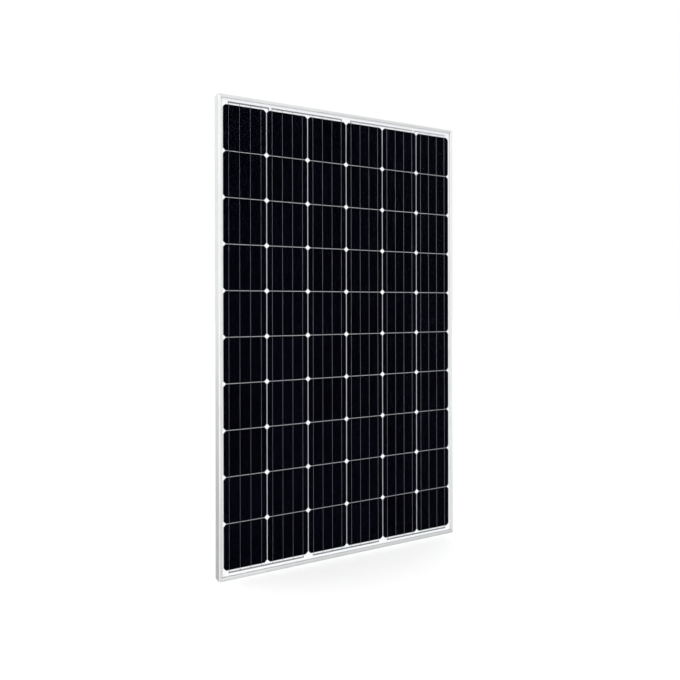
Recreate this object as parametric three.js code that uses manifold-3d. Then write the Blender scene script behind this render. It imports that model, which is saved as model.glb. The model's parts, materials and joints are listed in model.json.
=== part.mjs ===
// A framed solar panel with 60 cells in six strings, and the junction box on its back.
// Millimetres, +Z up. The panel stands on its short side: X is its width, the glass faces -Y and
// the back faces +Y. The origin is the middle of the bottom side, half way through the depth.
import * as THREE from 'three';
import { mergeVertices } from 'three/addons/utils/BufferGeometryUtils.js';
import Module from 'manifold-3d';

const wasm = await Module();
wasm.setup();

// ---- Driving dimensions -------------------------------------------------------------------

// Frame extrusion. Its section is drawn in u, the way in from the outer face, and v, the depth
// behind the front face.
const PANEL_WIDTH = 992;
const PANEL_HEIGHT = 1650;
const PANEL_DEPTH = 40;
const RAIL_WALL = 1.6;
const LIP_WIDTH = 11;
const LIP_FLAT_WIDTH = 7;
const LIP_THICKNESS = 1.8;
const LIP_BEVEL_DROP = 0.9;
const FLANGE_WIDTH = 35;
const FLANGE_THICKNESS = 1.8;
const RAIL_EDGE = 0.6;
const MITRE_GAP = 0.1;

// Holes in the rear flanges, on a line FLANGE_HOLE_INSET in from the outer face.
const FLANGE_HOLE_INSET = 25;
const BOLT_SLOT = { width: 9, length: 14, spacing: 990 };
const DRAIN_SLOT = { width: 4, length: 12, spacing: 840 };
const GROUND_HOLE_DIAMETER = 4.2;
const GROUND_HOLE_SPACING = 300;
const GROUND_HOLE_SIDES = 12;
const SLOT_END_STEPS = 4;

// Corner keys, with a gap to the chamber that they are pressed into.
const KEY_LEG = 58;
const KEY_GAP = 0.3;
const KEY_TEETH = 4;
const KEY_TOOTH_PITCH = 9;
const KEY_TOOTH_DEPTH = 1;

// Laminate, from the front to the back.
const LAMINATE_INSET = 3;
const LAYER_GAP = 0.02;
const SEAL_GAP = 0.05;
const SEAL_THICKNESS = 0.45;
const SEAL_LEG = 7.8;
const SEAL_WEB_GAP = 0.15;
const GLASS_THICKNESS = 3.2;
const GLASS_EDGE = 0.5;
const GLASS_CORNER = 2;
const SHEET_INSET = 4;
const ENCAPSULANT_THICKNESS = 0.45;
const RIBBON_THICKNESS = 0.2;
const WAFER_THICKNESS = 0.2;
const INSULATION_THICKNESS = 0.1;
const LEAD_THICKNESS = 0.2;
const BACKSHEET_THICKNESS = 0.35;

// Cells and their wiring.
const COLUMNS = 6;
const ROWS = 10;
const CELL_SIZE = 156.75;
const INGOT_DIAMETER = 210;
const STRING_GAP = 3;
const CELL_GAP = 2;
const BUSBARS = 4;
const RIBBON_WIDTH = 1.1;
const SOLDER_DEPTH = 0.05;
const BUS_WIDTH = 5;
const BUS_THICKNESS = 0.3;
const BUS_OFFSET = 6.1;
const BUS_OVERREACH = 9.5;
const TOP_BUS_STRINGS = [[0, 0], [1, 2], [3, 4], [5, 5]];
const BOTTOM_BUS_STRINGS = [[0, 1], [2, 3], [4, 5]];
const LEAD_RUN_DROP = 14;
const LEAD_TAIL = 4;
const INSULATION_SIZE = [640, 70];

// Junction box. Its own frame has Y out of the back from its floor, and Z up from its middle.
const BOX_WIDTH = 110;
const BOX_HEIGHT = 100;
const BOX_DEPTH = 20;
const BOX_WALL = 3;
const BOX_FLOOR = 2;
const BOX_CORNER = 6;
const BOX_SKIRT = 6;
const BOX_BELOW_CELL_TOP = 85;
const BOX_RIB = { width: 2, height: 1, pitch: 26, belowRim: 4 };
const PAD_THICKNESS = 1;
const PAD_INSET = 1;
const LEAD_WINDOW = { width: 88, height: 8, up: 26 };
const LEAD_SLIT = [9, 4];
const ROUND_SIDES = 16;

// Inside the box: the raised seat, the bent terminal clips and the diodes between them.
const SEAT = { rise: 3, root: 0.5, low: 2, high: 20 };
const TERMINAL = { pitch: 24, width: 10, metal: 1, inset: 1, foot: 5, tongue: 4, turnUp: 2 };
const DIODE = { radius: 2.7, length: 9, leadRadius: 0.6, gap: 0.2, lift: 0.1, sides: 10 };

// The lid, its gasket, its two snap latches and the catches that they hook over.
const LID_THICKNESS = 3;
const LID_PANEL_THICKNESS = 0.8;
const LID_PANEL_INSET = 9;
const LID_ARM_ROOT = 2;
const LID_GAP = 0.05;
const GASKET_THICKNESS = 1.2;
const GASKET_WIDTH = 2.6;
const GASKET_INSET = 0.5;
const LATCH = { spread: 14, width: 9, arm: 2.5, tongue: 1.6, gap: 1, reach: 8, root: 1 };
const CATCH = { width: 7, height: 0.6, low: 13, high: 17, root: 1 };

// The lid's hinge: a knuckle on the lid turns on a pin between two ears on the box.
const HINGE_ABOVE = 5;
const HINGE_DROP = 0.35;
const HINGE_SPREAD = 34;
const KNUCKLE = { radius: 3.5, width: 8, bore: 1.9, leaf: 2.8 };
const EAR = { width: 3, gap: 0.4, foot: 9, root: 1, rimGap: 0.1 };
const PIN = { radius: 1.5, gap: 0.05, proud: 0.5 };

// Cable glands, with each drop measured down from the outside of the box's bottom wall.
const GLAND_SPREAD = 32;
const GLAND = {
  axis: 11,
  rise: 4,
  spigot: 5,
  spigotGap: 0.05,
  bore: 3.7,
  seat: 4.6,
  seatDrop: 5,
  thread: 6,
  threadDrop: 11,
  collar: 7.2,
  collarGap: 0.1,
  collarDrop: 3,
};
const GLAND_SEAL = { bore: 3.3, gap: 0.1, proud: 0.2 };
const NUT = {
  hexRadius: 8.4,
  hexDrop: 12.5,
  taperTop: 7.1,
  taperEnd: 5.4,
  drop: 16.5,
  gap: 0.3,
  root: 0.5,
};

// ---- Depths worked out from the above -----------------------------------------------------

const layers = {};
let depth = LIP_THICKNESS + SEAL_GAP + SEAL_THICKNESS + SEAL_GAP;
for (const [name, thickness] of [
  ['glass', GLASS_THICKNESS],
  ['frontEncapsulant', ENCAPSULANT_THICKNESS],
  ['cells', RIBBON_THICKNESS + WAFER_THICKNESS],
  ['insulation', INSULATION_THICKNESS],
  ['leads', LEAD_THICKNESS],
  ['rearEncapsulant', ENCAPSULANT_THICKNESS],
  ['backsheet', BACKSHEET_THICKNESS],
]) {
  layers[name] = depth;
  depth += thickness + LAYER_GAP;
}
const laminateBack = depth - LAYER_GAP;
const shelfDepth = laminateBack + SEAL_GAP + SEAL_THICKNESS + SEAL_GAP;
const chamberDepth = shelfDepth + RAIL_WALL;
const flangeDepth = PANEL_DEPTH - FLANGE_THICKNESS;
const padDepth = laminateBack + LAYER_GAP;
const boxDepth = padDepth + PAD_THICKNESS + LAYER_GAP;

const stringPitch = CELL_SIZE + STRING_GAP;
const cellPitch = CELL_SIZE + CELL_GAP;
const fieldHeight = ROWS * CELL_SIZE + (ROWS - 1) * CELL_GAP;
const cellTop = fieldHeight / 2;
const boxCentre = cellTop - BOX_BELOW_CELL_TOP;
const slitHeight = boxCentre + LEAD_WINDOW.up;

const seatTop = BOX_FLOOR + SEAT.rise;
const gasketBase = BOX_DEPTH + 2 * LID_GAP;
const lidBase = gasketBase + GASKET_THICKNESS + LID_GAP;
const hinge = { y: lidBase - HINGE_DROP, z: BOX_HEIGHT / 2 + HINGE_ABOVE };

// ---- Geometry helpers ---------------------------------------------------------------------

/** An outline through points given as [x, y]. */
function outline(points) {
  return new THREE.Shape(points.map(([x, y]) => new THREE.Vector2(x, y)));
}

/** A rectangle with rounded corners about the origin. */
function roundedRectangle(width, height, radius, steps = 3) {
  const points = [];
  for (let corner = 0; corner < 4; corner++) {
    const centreX = (corner === 0 || corner === 3 ? 1 : -1) * (width / 2 - radius);
    const centreY = (corner < 2 ? 1 : -1) * (height / 2 - radius);
    for (let step = 0; step <= steps; step++) {
      const angle = (corner + step / steps) * Math.PI / 2;
      points.push([centreX + radius * Math.cos(angle), centreY + radius * Math.sin(angle)]);
    }
  }
  return outline(points);
}

/** Extrudes an outline drawn in X and Z rearward, so that its front lies at Y = 0. */
function slab(shape, thickness, bevel = 0) {
  const geometry = new THREE.ExtrudeGeometry(shape, {
    depth: thickness - 2 * bevel,
    bevelEnabled: bevel > 0,
    bevelThickness: bevel,
    bevelSize: bevel,
    bevelOffset: -bevel,
    bevelSegments: 1,
  });
  return geometry.rotateX(Math.PI / 2).translate(0, thickness - bevel, 0);
}

/** Extrudes an outline drawn in Y and Z along X, centred on X = 0. */
function barAlongX(shape, width) {
  const geometry = new THREE.ExtrudeGeometry(shape, { depth: width, bevelEnabled: false });
  const axes = new THREE.Matrix4().makeBasis(
    new THREE.Vector3(0, 1, 0),
    new THREE.Vector3(0, 0, 1),
    new THREE.Vector3(1, 0, 0),
  );
  return geometry.applyMatrix4(axes).translate(-width / 2, 0, 0);
}

/** A box between two opposite corners. */
function block(low, high) {
  const size = high.map((value, axis) => value - low[axis]);
  const middle = high.map((value, axis) => (value + low[axis]) / 2);
  return new THREE.BoxGeometry(...size).translate(...middle);
}

/** A cylinder along X, centred on x and on the axis through y and z. */
function rodAlongX(radius, length, [x, y, z], sides) {
  return new THREE.CylinderGeometry(radius, radius, length, sides)
    .rotateZ(Math.PI / 2)
    .translate(x, y, z);
}

/** A cylinder or cone along Z between two drops below the origin. */
function rodDownZ(topRadius, endRadius, top, end, sides) {
  return new THREE.CylinderGeometry(topRadius, endRadius, end - top, sides)
    .rotateX(Math.PI / 2)
    .translate(0, 0, -(top + end) / 2);
}

/** Turns a ring's profile of [radius, drop] points about the Z axis, where drop runs downwards. */
function turned(profile, sides) {
  const points = profile.map(([radius, drop]) => new THREE.Vector2(radius, -drop)).reverse();
  points.push(points[0].clone());
  return new THREE.LatheGeometry(points, sides).rotateX(Math.PI / 2);
}

const WELD_DISTANCE = 1e-4;

/** Turns a closed geometry into a solid for cutting and joining. */
function solidOf(geometry) {
  const bare = new THREE.BufferGeometry();
  bare.setAttribute('position', geometry.getAttribute('position').clone());
  if (geometry.index) {
    bare.setIndex(geometry.index.clone());
  }
  const merged = mergeVertices(bare, WELD_DISTANCE);
  return new wasm.Manifold(new wasm.Mesh({
    numProp: 3,
    vertProperties: merged.getAttribute('position').array,
    triVerts: new Uint32Array(merged.index.array),
  }));
}

/** Joins the parts into one body and takes the cutters away from it. */
function carve(parts, cutters = []) {
  let solid = solidOf(parts[0]);
  for (const part of parts.slice(1)) {
    solid = solid.add(solidOf(part));
  }
  for (const cutter of cutters) {
    solid = solid.subtract(solidOf(cutter));
  }
  const mesh = solid.getMesh();
  const geometry = new THREE.BufferGeometry();
  geometry.setAttribute('position', new THREE.BufferAttribute(mesh.vertProperties, 3));
  geometry.setIndex(new THREE.BufferAttribute(mesh.triVerts, 1));
  geometry.computeVertexNormals();
  return geometry;
}

/** A named piece with a material of its own. */
function piece(name, geometry, finish) {
  const mesh = new THREE.Mesh(geometry, new THREE.MeshStandardMaterial(finish));
  mesh.name = name;
  return mesh;
}

const ANODISED = { color: 0xc9cbcc, roughness: 0.38, metalness: 0.9 };
const DIE_CAST = { color: 0x9a9c9e, roughness: 0.55, metalness: 0.85 };
const SEALANT = { color: 0xe9e8e4, roughness: 0.7, metalness: 0 };
const GLASS = { color: 0xdfe9ee, roughness: 0.08, metalness: 0 };
const ENCAPSULANT = { color: 0xf2f4f4, roughness: 0.35, metalness: 0 };
const SILICON = { color: 0x07080d, roughness: 0.3, metalness: 0.1 };
const TINNED_COPPER = { color: 0xb4b6b8, roughness: 0.35, metalness: 0.95 };
const WHITE_SHEET = { color: 0xf4f5f5, roughness: 0.55, metalness: 0 };
const BLACK_PLASTIC = { color: 0x17181a, roughness: 0.55, metalness: 0 };
const BLACK_RUBBER = { color: 0x1d1d1e, roughness: 0.85, metalness: 0 };
const BRASS = { color: 0xb59a55, roughness: 0.4, metalness: 0.9 };
const STEEL = { color: 0xb8babc, roughness: 0.35, metalness: 0.95 };

// ---- Frame --------------------------------------------------------------------------------

// The four sides, each turned about Y from the left one, which runs up along Z.
const SIDES = [
  { name: 'left', turn: 0, span: PANEL_WIDTH, length: PANEL_HEIGHT, slots: BOLT_SLOT },
  { name: 'top', turn: Math.PI / 2, span: PANEL_HEIGHT, length: PANEL_WIDTH, slots: DRAIN_SLOT },
  { name: 'right', turn: Math.PI, span: PANEL_WIDTH, length: PANEL_HEIGHT, slots: BOLT_SLOT },
  { name: 'bottom', turn: -Math.PI / 2, span: PANEL_HEIGHT, length: PANEL_WIDTH, slots: DRAIN_SLOT },
];

/** Extrudes a section of u and v to the given length, and mitres both ends at 45 degrees. */
function mitredStrip(section, length) {
  const geometry = new THREE.ExtrudeGeometry(section, { depth: length, bevelEnabled: false });
  const position = geometry.getAttribute('position');
  for (let i = 0; i < position.count; i++) {
    const inset = position.getX(i) + MITRE_GAP;
    const atStart = position.getZ(i) < length / 2;
    position.setZ(i, atStart ? inset : length - inset);
  }
  return geometry.translate(0, 0, -length / 2);
}

/** The rail's section: front lip, channel for the laminate, hollow chamber and rear flange. */
function railSection() {
  const section = outline([
    [RAIL_EDGE, 0],
    [LIP_FLAT_WIDTH, 0],
    [LIP_WIDTH, LIP_BEVEL_DROP],
    [LIP_WIDTH, LIP_THICKNESS],
    [RAIL_WALL, LIP_THICKNESS],
    [RAIL_WALL, shelfDepth],
    [LIP_WIDTH, shelfDepth],
    [LIP_WIDTH, flangeDepth],
    [FLANGE_WIDTH, flangeDepth],
    [FLANGE_WIDTH, PANEL_DEPTH - RAIL_EDGE],
    [FLANGE_WIDTH - RAIL_EDGE, PANEL_DEPTH],
    [RAIL_EDGE, PANEL_DEPTH],
    [0, PANEL_DEPTH - RAIL_EDGE],
    [0, RAIL_EDGE],
  ]);
  const chamber = outline([
    [RAIL_WALL, chamberDepth],
    [LIP_WIDTH - RAIL_WALL, chamberDepth],
    [LIP_WIDTH - RAIL_WALL, flangeDepth],
    [RAIL_WALL, flangeDepth],
  ]);
  section.holes.push(chamber);
  return section;
}

/** A cutter for one slot in the flange, with its long way along the rail. */
function flangeSlot({ width, length }, along) {
  const cutter = slab(roundedRectangle(width, length, width / 2, SLOT_END_STEPS), 2 * FLANGE_THICKNESS);
  return cutter.translate(FLANGE_HOLE_INSET, flangeDepth - FLANGE_THICKNESS / 2, along);
}

/** A cutter for one round hole in the flange. */
function flangeHole(diameter, along) {
  const radius = diameter / 2;
  const cutter = new THREE.CylinderGeometry(radius, radius, 2 * FLANGE_THICKNESS, GROUND_HOLE_SIDES);
  return cutter.translate(FLANGE_HOLE_INSET, flangeDepth + FLANGE_THICKNESS / 2, along);
}

function frameRail(side) {
  const cutters = [];
  for (const end of [-1, 1]) {
    cutters.push(flangeSlot(side.slots, end * side.slots.spacing / 2));
    if (side.slots === BOLT_SLOT) {
      cutters.push(flangeHole(GROUND_HOLE_DIAMETER, end * GROUND_HOLE_SPACING / 2));
    }
  }
  const rail = carve([mitredStrip(railSection(), side.length)], cutters);
  return piece(`frame_rail_${side.name}`, rail, ANODISED);
}

/** The foam tape that wraps the edge of the laminate inside the rail's channel. */
function edgeSeal(side) {
  const front = LIP_THICKNESS + SEAL_GAP;
  const back = shelfDepth - SEAL_GAP;
  const web = RAIL_WALL + SEAL_GAP;
  const webInside = LAMINATE_INSET - SEAL_WEB_GAP;
  const section = outline([
    [web, front],
    [web + SEAL_LEG, front],
    [web + SEAL_LEG, front + SEAL_THICKNESS],
    [webInside, front + SEAL_THICKNESS],
    [webInside, back - SEAL_THICKNESS],
    [web + SEAL_LEG, back - SEAL_THICKNESS],
    [web + SEAL_LEG, back],
    [web, back],
  ]);
  return piece(`edge_seal_${side.name}`, mitredStrip(section, side.length), SEALANT);
}

/** An L-shaped key with teeth along the inside of both legs. */
function cornerKey(name) {
  const outer = RAIL_WALL + KEY_GAP;
  const inner = LIP_WIDTH - RAIL_WALL - KEY_GAP;
  const leg = [];
  for (let tooth = 0; tooth < KEY_TEETH; tooth++) {
    const start = KEY_LEG - (KEY_TEETH - tooth) * KEY_TOOTH_PITCH;
    leg.push([start, inner], [start + KEY_TOOTH_PITCH, inner - KEY_TOOTH_DEPTH]);
    leg.push([start + KEY_TOOTH_PITCH, inner]);
  }
  leg.pop();
  const otherLeg = leg.map(([a, b]) => [b, a]);
  const shape = outline([
    [outer, outer],
    [KEY_LEG, outer],
    ...leg.reverse(),
    [inner, inner],
    ...otherLeg,
    [outer, KEY_LEG],
  ]);
  const height = flangeDepth - chamberDepth - 2 * KEY_GAP;
  return piece(`corner_key_${name}`, slab(shape, height), DIE_CAST);
}

function frameGroup() {
  const group = new THREE.Group();
  for (const side of SIDES) {
    const arm = new THREE.Group();
    arm.rotation.y = side.turn;
    for (const strip of [frameRail(side), edgeSeal(side)]) {
      strip.position.set(-side.span / 2, 0, 0);
      arm.add(strip);
    }
    group.add(arm);
  }
  const corners = [
    ['bottom_left', -1, -1, 0],
    ['top_left', -1, 1, Math.PI / 2],
    ['top_right', 1, 1, Math.PI],
    ['bottom_right', 1, -1, -Math.PI / 2],
  ];
  for (const [name, sideX, sideZ, turn] of corners) {
    const key = cornerKey(name);
    key.position.set(sideX * PANEL_WIDTH / 2, chamberDepth + KEY_GAP, sideZ * PANEL_HEIGHT / 2);
    key.rotation.y = turn;
    group.add(key);
  }
  return group;
}

// ---- Laminate -----------------------------------------------------------------------------

/** One wafer's outline: a square whose corners are arcs of the round ingot. */
function waferOutline(steps = 2) {
  const half = CELL_SIZE / 2;
  const first = Math.acos(half / (INGOT_DIAMETER / 2));
  const points = [];
  for (let corner = 0; corner < 4; corner++) {
    for (let step = 0; step <= steps; step++) {
      const angle = corner * Math.PI / 2 + first + (Math.PI / 2 - 2 * first) * step / steps;
      points.push([Math.cos(angle) * INGOT_DIAMETER / 2, Math.sin(angle) * INGOT_DIAMETER / 2]);
    }
  }
  return outline(points);
}

const columnCentre = (column) => (column - (COLUMNS - 1) / 2) * stringPitch;
const rowCentre = (row) => (row - (ROWS - 1) / 2) * cellPitch;
const busbarOffset = (busbar) => ((busbar + 0.5) / BUSBARS - 0.5) * CELL_SIZE;
const terminalCentre = (lead) => (lead - (TOP_BUS_STRINGS.length - 1) / 2) * TERMINAL.pitch;

/** Ten wafers, joined by the ribbons soldered along their fronts. */
function cellString(column) {
  const parts = [];
  for (let row = 0; row < ROWS; row++) {
    const wafer = slab(waferOutline(), WAFER_THICKNESS);
    parts.push(wafer.translate(columnCentre(column), RIBBON_THICKNESS, rowCentre(row)));
  }
  const ribbonEnd = cellTop + BUS_OFFSET - SEAL_GAP;
  for (let busbar = 0; busbar < BUSBARS; busbar++) {
    const centre = columnCentre(column) + busbarOffset(busbar);
    parts.push(block(
      [centre - RIBBON_WIDTH / 2, 0, -ribbonEnd],
      [centre + RIBBON_WIDTH / 2, RIBBON_THICKNESS + SOLDER_DEPTH, ribbonEnd],
    ));
  }
  const string = piece(`cell_string_${column + 1}`, carve(parts), SILICON);
  string.position.y = layers.cells;
  return string;
}

/** The flat ribbon that joins the ends of the strings from first to last. */
function busStrip([first, last], low) {
  const reach = (RIBBON_WIDTH + BUS_WIDTH) / 2;
  return {
    left: columnCentre(first) + busbarOffset(0) - reach,
    right: columnCentre(last) + busbarOffset(BUSBARS - 1) + reach,
    low,
    high: low + BUS_WIDTH,
  };
}

/** A bus above the cells. Over an outer string it reaches past the gap that faces the panel's middle. */
function topStrip(strings) {
  const bus = busStrip(strings, cellTop + BUS_OFFSET);
  const [first, last] = strings;
  const reach = stringPitch / 2 + BUS_OVERREACH;
  if (last === 0) {
    bus.right = columnCentre(last) + reach;
  }
  if (first === COLUMNS - 1) {
    bus.left = columnCentre(first) - reach;
  }
  return bus;
}

function stripBlock({ left, right, low, high }, front, back) {
  return block([left, front, low], [right, back, high]);
}

/** A top bus ribbon with the lead that runs behind the cells and out into the junction box. */
function topBus(strings, lead) {
  const bus = topStrip(strings);
  const half = BUS_WIDTH / 2;
  const leadBack = layers.leads + LEAD_THICKNESS;
  const exit = terminalCentre(lead);
  const fromSide = exit < bus.left || exit > bus.right;
  const fall = fromSide ? THREE.MathUtils.clamp(exit, bus.left + half, bus.right - half) : exit;
  const runHeight = fromSide ? cellTop - LEAD_RUN_DROP : slitHeight;
  const upright = { left: fall - half, right: fall + half, low: runHeight - half, high: bus.high };
  const parts = [
    stripBlock(bus, layers.cells, layers.cells + BUS_THICKNESS),
    stripBlock({ ...upright, low: bus.low }, layers.cells, leadBack),
    stripBlock({ ...upright, low: Math.max(upright.low, slitHeight) }, layers.leads, leadBack),
  ];
  if (fromSide) {
    parts.push(block(
      [Math.min(fall, exit) - half, layers.leads, runHeight - half],
      [Math.max(fall, exit) + half, leadBack, runHeight + half],
    ));
    parts.push(block(
      [exit - half, layers.leads, slitHeight],
      [exit + half, leadBack, runHeight],
    ));
  }
  const tailEnd = boxDepth + BOX_FLOOR + LEAD_TAIL;
  parts.push(block(
    [exit - half, layers.leads, slitHeight],
    [exit + half, tailEnd, slitHeight + LEAD_THICKNESS],
  ));
  return piece(`bus_ribbon_top_${lead + 1}`, carve(parts), TINNED_COPPER);
}

function bottomBus(strings, index) {
  const bus = busStrip(strings, -cellTop - BUS_OFFSET - BUS_WIDTH);
  const geometry = stripBlock(bus, layers.cells, layers.cells + BUS_THICKNESS);
  return piece(`bus_ribbon_bottom_${index + 1}`, geometry, TINNED_COPPER);
}

/** The cutters for the slits that the leads pass through in a sheet. */
function leadSlits(thickness) {
  const [width, height] = LEAD_SLIT;
  return TOP_BUS_STRINGS.map((strings, lead) => block(
    [terminalCentre(lead) - width / 2, -thickness, slitHeight - height / 2],
    [terminalCentre(lead) + width / 2, 2 * thickness, slitHeight + height / 2],
  ));
}

/** A sheet that fills the laminate less an inset. */
function sheet(name, thickness, front, finish, slits = []) {
  const width = PANEL_WIDTH - 2 * SHEET_INSET;
  const height = PANEL_HEIGHT - 2 * SHEET_INSET;
  const flat = block([-width / 2, 0, -height / 2], [width / 2, thickness, height / 2]);
  const mesh = piece(name, carve([flat], slits), finish);
  mesh.position.y = front;
  return mesh;
}

function frontGlass() {
  const width = PANEL_WIDTH - 2 * LAMINATE_INSET;
  const height = PANEL_HEIGHT - 2 * LAMINATE_INSET;
  const shape = roundedRectangle(width, height, GLASS_CORNER, 1);
  const glass = piece('front_glass', slab(shape, GLASS_THICKNESS, GLASS_EDGE), GLASS);
  glass.position.y = layers.glass;
  return glass;
}

function insulationStrip() {
  const [width, height] = INSULATION_SIZE;
  const front = layers.insulation;
  const strip = block(
    [-width / 2, front, cellTop - height],
    [width / 2, front + INSULATION_THICKNESS, cellTop],
  );
  return piece('insulation_strip', strip, WHITE_SHEET);
}

function laminateGroup() {
  const group = new THREE.Group();
  group.add(frontGlass());
  group.add(sheet('front_encapsulant', ENCAPSULANT_THICKNESS, layers.frontEncapsulant, ENCAPSULANT));
  for (let column = 0; column < COLUMNS; column++) {
    group.add(cellString(column));
  }
  TOP_BUS_STRINGS.forEach((strings, lead) => group.add(topBus(strings, lead)));
  BOTTOM_BUS_STRINGS.forEach((strings, index) => group.add(bottomBus(strings, index)));
  group.add(insulationStrip());
  group.add(sheet(
    'rear_encapsulant',
    ENCAPSULANT_THICKNESS,
    layers.rearEncapsulant,
    ENCAPSULANT,
    leadSlits(ENCAPSULANT_THICKNESS),
  ));
  group.add(sheet(
    'backsheet',
    BACKSHEET_THICKNESS,
    layers.backsheet,
    WHITE_SHEET,
    leadSlits(BACKSHEET_THICKNESS),
  ));
  return group;
}

// ---- Junction box -------------------------------------------------------------------------

/** The window in the box's floor and in the pad, which the four leads come through. */
function leadWindow(thickness) {
  const { width, height, up } = LEAD_WINDOW;
  return block(
    [-width / 2, -thickness, up - height / 2],
    [width / 2, 2 * thickness, up + height / 2],
  );
}

function boxPad() {
  const grow = 2 * (BOX_SKIRT - PAD_INSET);
  const shape = roundedRectangle(BOX_WIDTH + grow, BOX_HEIGHT + grow, BOX_CORNER);
  const pad = carve([slab(shape, PAD_THICKNESS)], [leadWindow(PAD_THICKNESS)]);
  return piece('junction_box_pad', pad, SEALANT);
}

/** The two ears that hold one hinge pin. */
function hingeEars(centre) {
  const root = BOX_HEIGHT / 2 - EAR.root;
  const rim = BOX_DEPTH - EAR.rimGap;
  const brace = outline([
    [hinge.y - EAR.foot, root],
    [rim, root],
    [rim, hinge.z],
    [hinge.y - KNUCKLE.radius + EAR.rimGap, hinge.z],
  ]);
  const parts = [];
  for (const side of [-1, 1]) {
    const x = centre + side * (KNUCKLE.width / 2 + EAR.gap + EAR.width / 2);
    parts.push(barAlongX(brace, EAR.width).translate(x, 0, 0));
    parts.push(rodAlongX(KNUCKLE.radius, EAR.width, [x, hinge.y, hinge.z], ROUND_SIDES));
  }
  return parts;
}

/** The wedge on the bottom wall that a latch hooks over. */
function latchCatch(centre) {
  const wall = -BOX_HEIGHT / 2;
  const wedge = outline([
    [CATCH.low, wall + CATCH.root],
    [CATCH.low, wall - CATCH.height],
    [CATCH.high, wall],
    [CATCH.high, wall + CATCH.root],
  ]);
  return barAlongX(wedge, CATCH.width).translate(centre, 0, 0);
}

/** The upright ribs on one side wall. */
function wallRibs(side) {
  const wall = side * BOX_WIDTH / 2;
  return [-1, 0, 1].map((step) => block(
    [wall - BOX_RIB.height, BOX_FLOOR / 2, step * BOX_RIB.pitch - BOX_RIB.width / 2],
    [wall + BOX_RIB.height, BOX_DEPTH - BOX_RIB.belowRim, step * BOX_RIB.pitch + BOX_RIB.width / 2],
  ));
}

/** The raised bar that the terminals stand on. */
function terminalSeat() {
  const reach = TOP_BUS_STRINGS.length * TERMINAL.pitch / 2;
  return block([-reach, BOX_FLOOR - SEAT.root, SEAT.low], [reach, seatTop, SEAT.high]);
}

function boxBase() {
  const skirt = roundedRectangle(
    BOX_WIDTH + 2 * BOX_SKIRT,
    BOX_HEIGHT + 2 * BOX_SKIRT,
    BOX_CORNER + BOX_FLOOR,
  );
  const shell = roundedRectangle(BOX_WIDTH, BOX_HEIGHT, BOX_CORNER);
  const cavity = roundedRectangle(
    BOX_WIDTH - 2 * BOX_WALL,
    BOX_HEIGHT - 2 * BOX_WALL,
    BOX_CORNER / 2,
  );
  const parts = [slab(skirt, BOX_FLOOR), slab(shell, BOX_DEPTH)];
  const cutters = [
    slab(cavity, BOX_DEPTH).translate(0, BOX_FLOOR, 0),
    leadWindow(BOX_FLOOR),
    rodAlongX(PIN.radius + PIN.gap, BOX_WIDTH, [0, hinge.y, hinge.z], ROUND_SIDES),
  ];
  const holeRadius = GLAND.spigot + GLAND.spigotGap;
  for (const side of [-1, 1]) {
    parts.push(...hingeEars(side * HINGE_SPREAD));
    parts.push(latchCatch(side * LATCH.spread));
    parts.push(...wallRibs(side));
    const hole = rodDownZ(holeRadius, holeRadius, -2 * BOX_WALL, 2 * BOX_WALL, ROUND_SIDES);
    cutters.push(hole.translate(side * GLAND_SPREAD, GLAND.axis, -BOX_HEIGHT / 2));
  }
  const base = carve([carve(parts, cutters), terminalSeat()]);
  return piece('junction_box_base', base, BLACK_PLASTIC);
}

/** A bent clip: a foot on the seat, an upright, and a turned-up tongue over the lead. */
function terminal(lead) {
  const { metal, foot, tongue, turnUp } = TERMINAL;
  const y = seatTop + LAYER_GAP;
  const low = SEAT.low + TERMINAL.inset;
  const high = SEAT.high - TERMINAL.inset;
  const shape = outline([
    [y, low],
    [y + foot, low],
    [y + foot, low + metal],
    [y + metal, low + metal],
    [y + metal, high - metal],
    [y + tongue, high - metal],
    [y + tongue, high + turnUp],
    [y + tongue - metal, high + turnUp],
    [y + tongue - metal, high],
    [y, high],
  ]);
  const clip = barAlongX(shape, TERMINAL.width).translate(terminalCentre(lead), 0, 0);
  return piece(`terminal_${lead + 1}`, clip, BRASS);
}

/** A bypass diode lying between two terminals. */
function bypassDiode(index) {
  const end = (TERMINAL.pitch - TERMINAL.width) / 2 - DIODE.gap;
  const profile = [
    [0, -end],
    [DIODE.leadRadius, -end],
    [DIODE.leadRadius, -DIODE.length / 2],
    [DIODE.radius, -DIODE.length / 2],
    [DIODE.radius, DIODE.length / 2],
    [DIODE.leadRadius, DIODE.length / 2],
    [DIODE.leadRadius, end],
    [0, end],
  ].map(([radius, along]) => new THREE.Vector2(radius, along));
  const diode = new THREE.LatheGeometry(profile, DIODE.sides).rotateZ(Math.PI / 2);
  const x = (terminalCentre(index) + terminalCentre(index + 1)) / 2;
  const y = seatTop + DIODE.radius + DIODE.lift;
  const z = (SEAT.low + SEAT.high) / 2;
  return piece(`bypass_diode_${index + 1}`, diode.translate(x, y, z), BLACK_PLASTIC);
}

/** A latch on the lid: an arm over the rim, and a tongue that hangs down outside the catch. */
function lidLatch(centre) {
  const wall = -BOX_HEIGHT / 2;
  const outer = wall - LATCH.gap - LATCH.tongue;
  return [
    block(
      [centre - LATCH.width / 2, lidBase, outer],
      [centre + LATCH.width / 2, lidBase + LATCH.arm, wall + LID_ARM_ROOT],
    ),
    block(
      [centre - LATCH.width / 2, lidBase - LATCH.reach, outer],
      [centre + LATCH.width / 2, lidBase + LATCH.root, outer + LATCH.tongue],
    ),
  ];
}

/** A hinge knuckle on the lid, with the leaf that joins it to the plate. */
function lidKnuckle(centre) {
  return [
    rodAlongX(KNUCKLE.radius, KNUCKLE.width, [centre, hinge.y, hinge.z], ROUND_SIDES),
    block(
      [centre - KNUCKLE.width / 2, lidBase, BOX_HEIGHT / 2 - LID_ARM_ROOT],
      [centre + KNUCKLE.width / 2, lidBase + KNUCKLE.leaf, hinge.z],
    ),
  ];
}

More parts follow.
